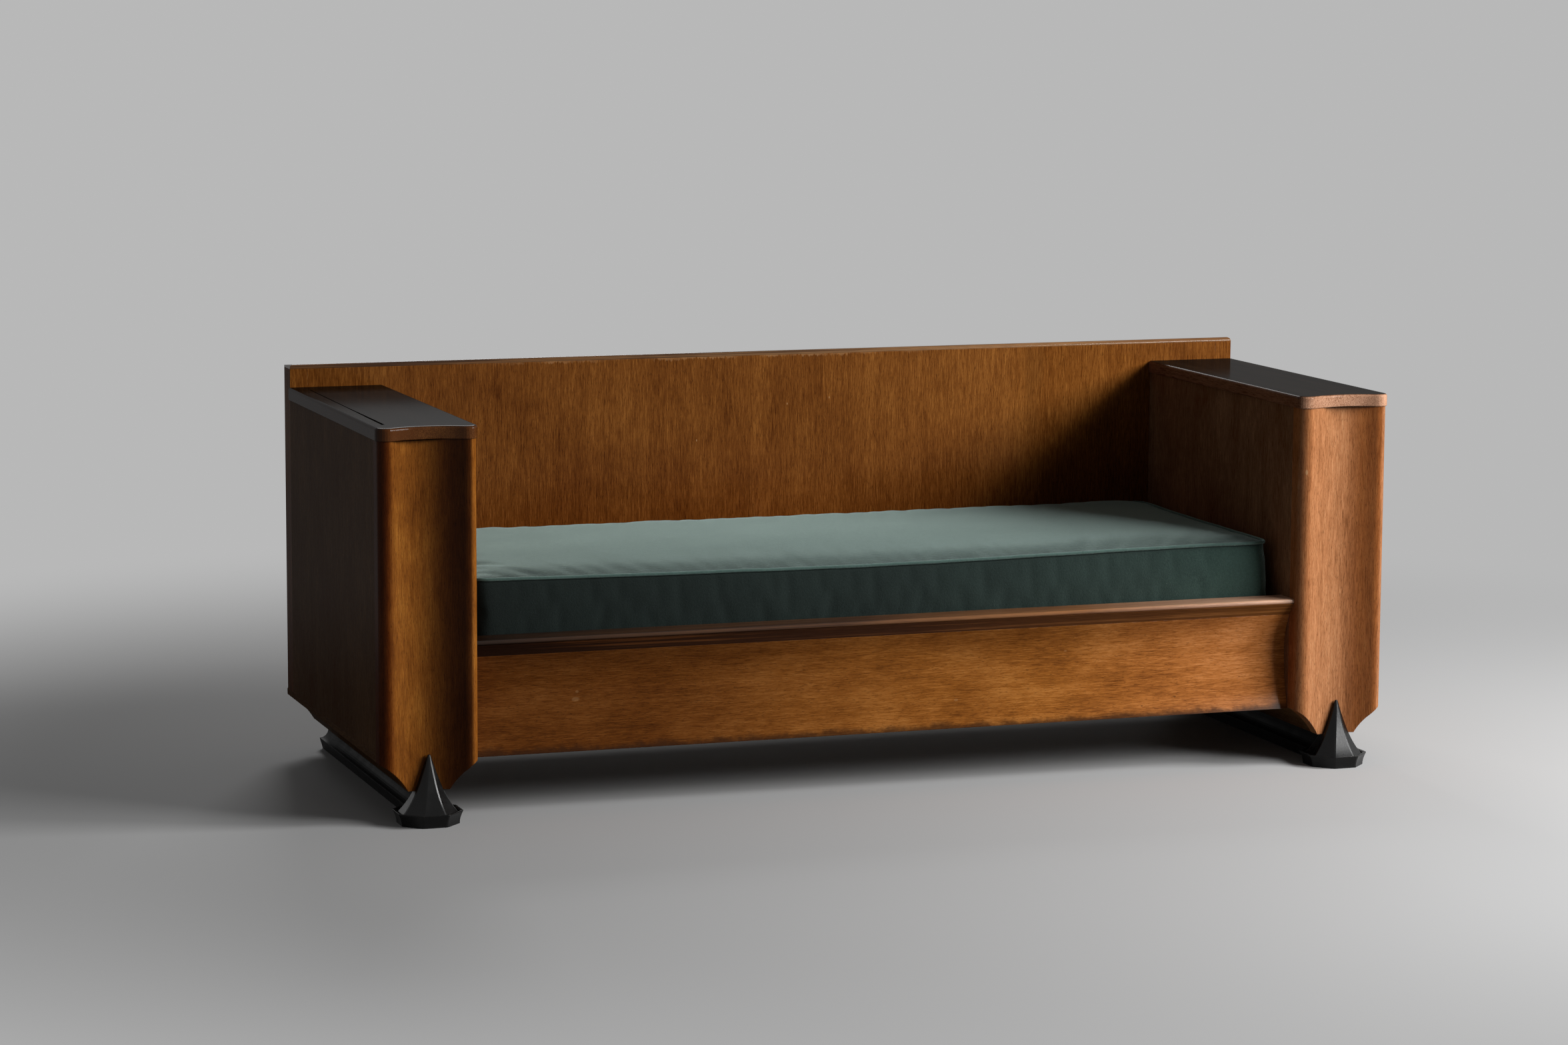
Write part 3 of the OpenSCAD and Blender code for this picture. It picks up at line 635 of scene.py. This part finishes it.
def crown(x, y):
    """Height of the filled top over its seam."""
    end = min(x - cushion_low.x, cushion_high.x - x)
    front, rear = y - cushion_low.y, cushion_high.y - y
    lift = rise(front, RISE_FRONT) * rise(rear, RISE_REAR) * rise(end, RISE_END)
    inside = max(min(end, front, rear) - SEAM_INSET, 0.0)
    return FILL * lift + SHOULDER * (1 - math.exp(-inside / SHOULDER_W))


def as_object(bm, name):
    """Turns a finished bmesh into an object of the scene."""
    mesh = bpy.data.meshes.new(name)
    bm.to_mesh(mesh)
    bm.free()
    o = bpy.data.objects.new(name, mesh)
    scene.collection.objects.link(o)
    return o


def shade_smooth(o):
    for f in o.data.polygons:
        f.use_smooth = True


def cushion_body():
    """Boxed cushion as one closed grid: top and bottom panels and the border between them.

    Returns the object and the vertex numbers of the lower seam, the upper seam and the underside.
    """
    x0, x1 = cushion_low.x + SEAM_INSET, cushion_high.x - SEAM_INSET
    y0, y1 = cushion_low.y + SEAM_INSET, cushion_high.y - SEAM_INSET
    z0, z1 = cushion_low.z + SEAM_GAP, BORDER_TOP - SEAM_GAP
    xs = np.linspace(x0, x1, GRID_X + 1)
    ys = np.linspace(y0, y1, GRID_Y + 1)

    def rounded(x, y):
        """Moves a point of a square corner onto the round one."""
        cx = x0 + CORNER if x < x0 + CORNER else x1 - CORNER if x > x1 - CORNER else None
        cy = y0 + CORNER if y < y0 + CORNER else y1 - CORNER if y > y1 - CORNER else None
        if cx is None or cy is None:
            return x, y
        u, v = (x - cx) / CORNER, (y - cy) / CORNER
        return cx + CORNER * u * math.sqrt(1 - v * v / 2), cy + CORNER * v * math.sqrt(1 - u * u / 2)

    bm = bmesh.new()
    panels = []
    for z in (z0, z1):
        grid = {}
        for i, x in enumerate(xs):
            for j, y in enumerate(ys):
                px, py = rounded(x, y)
                qx, qy, qz = sewn(px, py, z)
                grid[i, j] = bm.verts.new((qx, qy, qz + (crown(px, py) if z == z1 else 0.0)))
        panels.append(grid)
    bottom, top = panels
    for i in range(GRID_X):
        for j in range(GRID_Y):
            bm.faces.new((bottom[i, j], bottom[i, j + 1], bottom[i + 1, j + 1], bottom[i + 1, j]))
            bm.faces.new((top[i, j], top[i + 1, j], top[i + 1, j + 1], top[i, j + 1]))
    rim = [(i, 0) for i in range(GRID_X)] + [(GRID_X, j) for j in range(GRID_Y)]
    rim += [(i, GRID_Y) for i in range(GRID_X, 0, -1)] + [(0, j) for j in range(GRID_Y, 0, -1)]
    rings = [[bottom[p] for p in rim]]
    for k in range(1, GRID_Z):
        z = z0 + (z1 - z0) * k / GRID_Z
        rings.append([bm.verts.new(sewn(*rounded(xs[i], ys[j]), z)) for i, j in rim])
    rings.append([top[p] for p in rim])
    n = len(rim)
    for a, b in zip(rings, rings[1:]):
        for i in range(n):
            j = (i + 1) % n
            bm.faces.new((a[i], a[j], b[j], b[i]))
    bm.verts.index_update()
    seam_low = [v.index for v in rings[0]]
    seam_high = [v.index for v in rings[-1]]
    under = [v.index for v in bottom.values()]
    return as_object(bm, "cushion_cover"), seam_low, seam_high, under


def swell(body, pinned):
    """Runs the cloth simulation on the cover and keeps a capped share of the movement."""
    start = np.array([v.co for v in body.data.vertices])
    group = body.vertex_groups.new(name="sewn")
    group.add(pinned, 1.0, "REPLACE")
    cloth = body.modifiers.new("cloth", "CLOTH")
    c = cloth.settings
    c.quality = 6
    c.mass = 0.4
    c.tension_stiffness = c.compression_stiffness = 25
    c.shear_stiffness = 8
    c.bending_stiffness = 2.5
    c.vertex_group_mass = "sewn"
    c.pin_stiffness = 1.0
    c.use_pressure = True
    c.uniform_pressure_force = PRESSURE
    c.shrink_min = -0.006
    c.effector_weights.gravity = 0.0
    cloth.collision_settings.use_collision = False
    for f in range(1, FRAMES + 1):
        scene.frame_set(f)
    solved = body.evaluated_get(bpy.context.evaluated_depsgraph_get())
    end = np.array([v.co for v in solved.data.vertices])
    body.modifiers.remove(cloth)
    scene.frame_set(1)
    move = end - start
    length = np.linalg.norm(move, axis=1, keepdims=True)
    move *= MOST * np.tanh(length / MOST) / np.maximum(length, 1e-9)
    place = start + move
    # The cushion rests flat on the slats and stays clear of the back and the rail
    place[:, 2] = np.maximum(place[:, 2], cushion_low.z)
    place[:, 1] = np.clip(place[:, 1], cushion_low.y - 0.001, cushion_high.y)
    body.data.vertices.foreach_set("co", place.astype(np.float32).ravel())
    body.data.update()


def outward(points, i):
    """Level direction out of a ring of points at one of them, and the direction along the ring."""
    forward = (points[(i + 1) % len(points)] - points[i - 1]).normalized()
    return forward.cross(Vector((0, 0, 1))).normalized(), forward


def tube(name, points, radius, sides=10):
    """Closed tube through a ring of points."""
    bm = bmesh.new()
    n = len(points)
    rings = []
    for i, p in enumerate(points):
        out, forward = outward(points, i)
        up = out.cross(forward)
        rings.append([bm.verts.new(p + radius * (math.cos(a) * out + math.sin(a) * up))
                      for a in (2 * math.pi * k / sides for k in range(sides))])
    for i in range(n):
        a, b = rings[i], rings[(i + 1) % n]
        for k in range(sides):
            m = (k + 1) % sides
            bm.faces.new((a[k], a[m], b[m], b[k]))
    bmesh.ops.recalc_face_normals(bm, faces=bm.faces)
    o = as_object(bm, name)
    shade_smooth(o)
    return o


cover, seam_low, seam_high, under = cushion_body()
swell(cover, seam_low + seam_high + under)
shade_smooth(cover)
finer = cover.modifiers.new("finer", "SUBSURF")
finer.levels = finer.render_levels = 1
with bpy.context.temp_override(object=cover, active_object=cover):
    bpy.ops.object.modifier_apply(modifier="finer")
cover.data.materials.append(materials["wool"])
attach(cover, "cushion")
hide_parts("seat_cushion")

for name, seam, lift in (("cushion_welt_low", seam_low, WELT_LIFT_LOW),
                         ("cushion_welt_high", seam_high, WELT_LIFT_HIGH)):
    points = [cover.data.vertices[i].co.copy() for i in seam]
    line = [p + WELT_OUT * outward(points, i)[0] + Vector((0, 0, lift)) for i, p in enumerate(points)]
    welt = tube(name, line, WELT_R)
    welt.data.materials.append(materials["welt"])
    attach(welt, "cushion")


# Floor, light and camera

# Brightness of the backdrop as it is seen, and of the even light from all round
BACKDROP = 0.48
AMBIENT = 0.075
# The floor's grey as it is seen and as it throws light back, and where it fades out
FLOOR_SEEN = 0.50
FLOOR_BOUNCE = 0.20
FADE_START, FADE_END = 1.5, 3.2
# Name, place, aim, size and power of each softbox
LAMPS = (
    ("key", (4.2, -2.0, 2.5), (0.1, 0.0, 0.35), (1.5, 1.5), 215),
    ("front", (3.2, -3.4, 2.0), (0.1, 0.0, 0.3), (1.7, 1.4), 142),
    ("rear", (0.6, 4.6, 3.1), (0.0, 0.3, 0.3), (1.6, 1.6), 60),
)
# The view of the photograph, from a perspective fit: width and focal length in pixels, sensor in
# millimetres, place, and the turns in degrees, multiplied in this order
PHOTO_W = 2352
FOCAL = 6406
SENSOR = 36.0
CAMERA_PLACE = (-2.7895, -7.7411, 1.6085)
CAMERA_TURNS = ((-19.111, "Z"), (-7.907, "X"), (-0.247, "Y"), (90, "X"))


def grey(value):
    return (value, value, value, 1.0)


def seen_rays(tree):
    """1 for camera, glossy and transmission rays."""
    rays = tree.nodes.new("ShaderNodeLightPath")
    total = rays.outputs["Is Camera Ray"]
    for name in ("Is Glossy Ray", "Is Transmission Ray"):
        n = tree.nodes.new("ShaderNodeMath")
        n.operation = "MAXIMUM"
        tree.links.new(total, n.inputs[0])
        tree.links.new(rays.outputs[name], n.inputs[1])
        total = n.outputs[0]
    return total


def studio_world():
    """Even light from all round, and a backdrop that only seen rays meet."""
    world = bpy.data.worlds.new("studio")
    scene.world = world
    world.use_nodes = True
    tree = world.node_tree
    tree.nodes.clear()
    ambient = tree.nodes.new("ShaderNodeBackground")
    ambient.inputs["Color"].default_value = grey(1.0)
    ambient.inputs["Strength"].default_value = AMBIENT
    shown = tree.nodes.new("ShaderNodeBackground")
    shown.inputs["Color"].default_value = grey(BACKDROP)
    either = tree.nodes.new("ShaderNodeMixShader")
    tree.links.new(seen_rays(tree), either.inputs[0])
    tree.links.new(ambient.outputs[0], either.inputs[1])
    tree.links.new(shown.outputs[0], either.inputs[2])
    tree.links.new(either.outputs[0], tree.nodes.new("ShaderNodeOutputWorld").inputs[0])


def studio_floor():
    """Pale floor that fades into the backdrop away from the sofa."""
    s = Shader("floor")
    length = s.add("ShaderNodeVectorMath", operation="LENGTH")
    s.plug(length.inputs[0], s.coords)
    far = s.spread(length.outputs["Value"], FADE_START, FADE_END)
    seen = seen_rays(s.tree)
    diffuse = s.add("ShaderNodeBsdfPrincipled")
    s.plug(diffuse.inputs["Base Color"], s.mix(seen, grey(FLOOR_BOUNCE), grey(FLOOR_SEEN)))
    diffuse.inputs["Roughness"].default_value = 0.6
    diffuse.inputs["Specular IOR Level"].default_value = 0.05
    glow = s.add("ShaderNodeEmission")
    glow.inputs["Color"].default_value = grey(BACKDROP)
    blend = s.add("ShaderNodeMixShader")
    s.plug(blend.inputs[0], s.times(far, seen))
    s.tree.links.new(diffuse.outputs[0], blend.inputs[1])
    s.tree.links.new(glow.outputs[0], blend.inputs[2])
    s.tree.links.new(blend.outputs[0], s.add("ShaderNodeOutputMaterial").inputs[0])
    bpy.ops.mesh.primitive_plane_add(size=120)
    o = bpy.context.object
    o.name = "floor"
    o.data.materials.append(s.material)


def softbox(name, place, aim, size, power):
    """Rectangular lamp that no camera ray sees."""
    data = bpy.data.lights.new(name, "AREA")
    data.shape = "RECTANGLE"
    data.size, data.size_y = size
    data.energy = power
    o = bpy.data.objects.new(name, data)
    o.location = place
    o.rotation_euler = (Vector(aim) - Vector(place)).to_track_quat("-Z", "Y").to_euler()
    o.visible_camera = False
    scene.collection.objects.link(o)


studio_world()
studio_floor()
for lamp in LAMPS:
    softbox(*lamp)

camera = bpy.data.objects.new("camera", bpy.data.cameras.new("camera"))
camera.data.sensor_fit = "HORIZONTAL"
camera.data.sensor_width = SENSOR
camera.data.lens = FOCAL / PHOTO_W * SENSOR
camera.data.clip_end = 200
turn = Matrix.Identity(4)
for degrees, axis in CAMERA_TURNS:
    turn = turn @ Matrix.Rotation(math.radians(degrees), 4, axis)
camera.matrix_world = Matrix.Translation(CAMERA_PLACE) @ turn
scene.collection.objects.link(camera)
scene.camera = camera
scene.view_settings.view_transform = "Standard"
